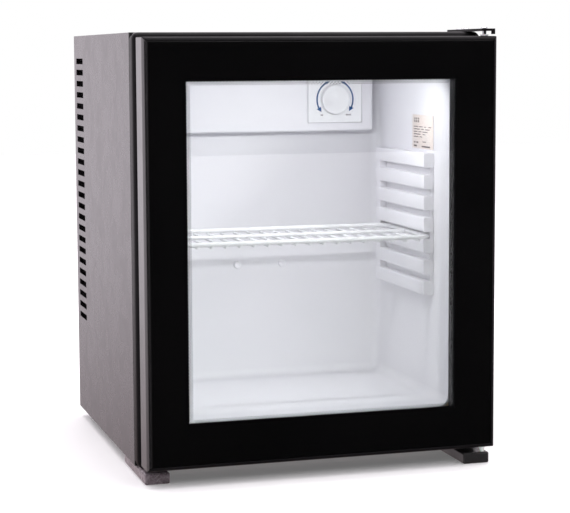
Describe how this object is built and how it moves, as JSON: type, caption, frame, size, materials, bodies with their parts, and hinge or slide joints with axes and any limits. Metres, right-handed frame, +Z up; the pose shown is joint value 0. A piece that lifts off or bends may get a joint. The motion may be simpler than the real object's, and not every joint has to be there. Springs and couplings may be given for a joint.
{
  "type": "glass door mini refrigerator",
  "caption": "Small countertop glass door merchandiser: insulated steel cabinet, white ribbed interior, wire shelf, framed glass door on side hinges.",
  "frame": {"origin": "on the floor under the centre of the object's box", "axes": "+Z up, -Y towards the person who opens the door, +X towards the hinge side"},
  "size_m": [0.4, 0.408, 0.4911],
  "materials": {
    "aluminium": "plain rolled aluminium",
    "black_frame": "gloss black painted profile",
    "black_pipe": "black painted steel pipe",
    "black_plastic": "fine-grained black moulding",
    "black_print": "black ceramic print on glass with a dotted edge",
    "bright_steel": "bright zinc plated steel",
    "clear_glass": "clear float glass",
    "foam": "rigid yellow insulation foam",
    "galvanised_steel": "dull zinc coated sheet",
    "label_paper": "pale printed label film",
    "magnet": "dark bonded magnet strip",
    "painted_steel": "satin taupe grey powder coat",
    "rubber": "soft black gasket",
    "white_coating": "smooth white coating",
    "white_liner": "glossy white moulding",
    "white_nylon": "plain white nylon"
  },
  "bodies": {
    "cabinet": {"absorber_coil": "black_pipe", "absorber_vessel": "black_pipe", "base_panel": "galvanised_steel", "boiler_can": "galvanised_steel", "condenser": "black_pipe", "dial_plate": "white_coating", "evaporator_cover": "white_liner", "evaporator_plate": "aluminium", "foam_back_plate": "galvanised_steel", "foam_insulation": "foam", "front_foot_left": "black_plastic", "front_foot_right": "black_plastic", "front_frame": "black_frame", "heater_cartridge": "bright_steel", "hinge_plate_screw_1": "bright_steel", "hinge_plate_screw_2": "bright_steel", "inner_liner": "white_liner", "liquid_pipe": "black_pipe", "lower_hinge_pin": "bright_steel", "rating_label": "label_paper", "rear_cover": "painted_steel", "rear_cover_screw_1": "bright_steel", "rear_cover_screw_2": "bright_steel", "rear_cover_screw_3": "bright_steel", "rear_cover_screw_4": "bright_steel", "rear_foot_left": "black_plastic", "rear_foot_right": "black_plastic", "shelf_runner_left": "white_liner", "shelf_runner_right": "white_liner", "side_panel_left": "painted_steel", "side_panel_right": "painted_steel", "terminal_box": "black_plastic", "thermostat_body": "black_plastic", "top_panel": "painted_steel", "unit_bracket_lower": "galvanised_steel", "unit_bracket_upper": "galvanised_steel", "upper_hinge_pin": "bright_steel", "upper_hinge_plate": "black_frame", "vapour_pipe": "black_pipe", "wall_plug_1": "white_liner", "wall_plug_2": "white_liner"},
    "door": {"door_gasket": "rubber", "door_glass_inner": "clear_glass", "door_glass_outer": "clear_glass", "door_inner_frame": "black_plastic", "door_print_mask": "black_print", "door_profile_bottom": "black_frame", "door_profile_left": "black_frame", "door_profile_right": "black_frame", "door_profile_top": "black_frame", "gasket_magnet": "magnet", "glass_spacer": "aluminium", "inner_frame_screw_1": "bright_steel", "inner_frame_screw_2": "bright_steel", "lower_hinge_bush": "white_nylon", "upper_hinge_bush": "white_nylon"},
    "knob": {"thermostat_knob": "white_coating"},
    "shelf": {"wire_shelf": "white_coating"}
  },
  "joints": [
    {"name": "door_hinge", "type": "hinge", "parent": "cabinet", "child": "door", "pos_m": [0.19, -0.18995, 0.2505], "axis": [0, 0, 1], "range_deg": [0, 135]},
    {"name": "thermostat_dial", "type": "hinge", "parent": "cabinet", "child": "knob", "pos_m": [0.105, 0.07765, 0.4058], "axis": [0, 1, 0], "range_deg": [-135, 135]},
    {"name": "shelf_slide", "type": "slide", "parent": "cabinet", "child": "shelf", "axis": [0, -1, 0], "range_m": [0, 0.055]}
  ]
}
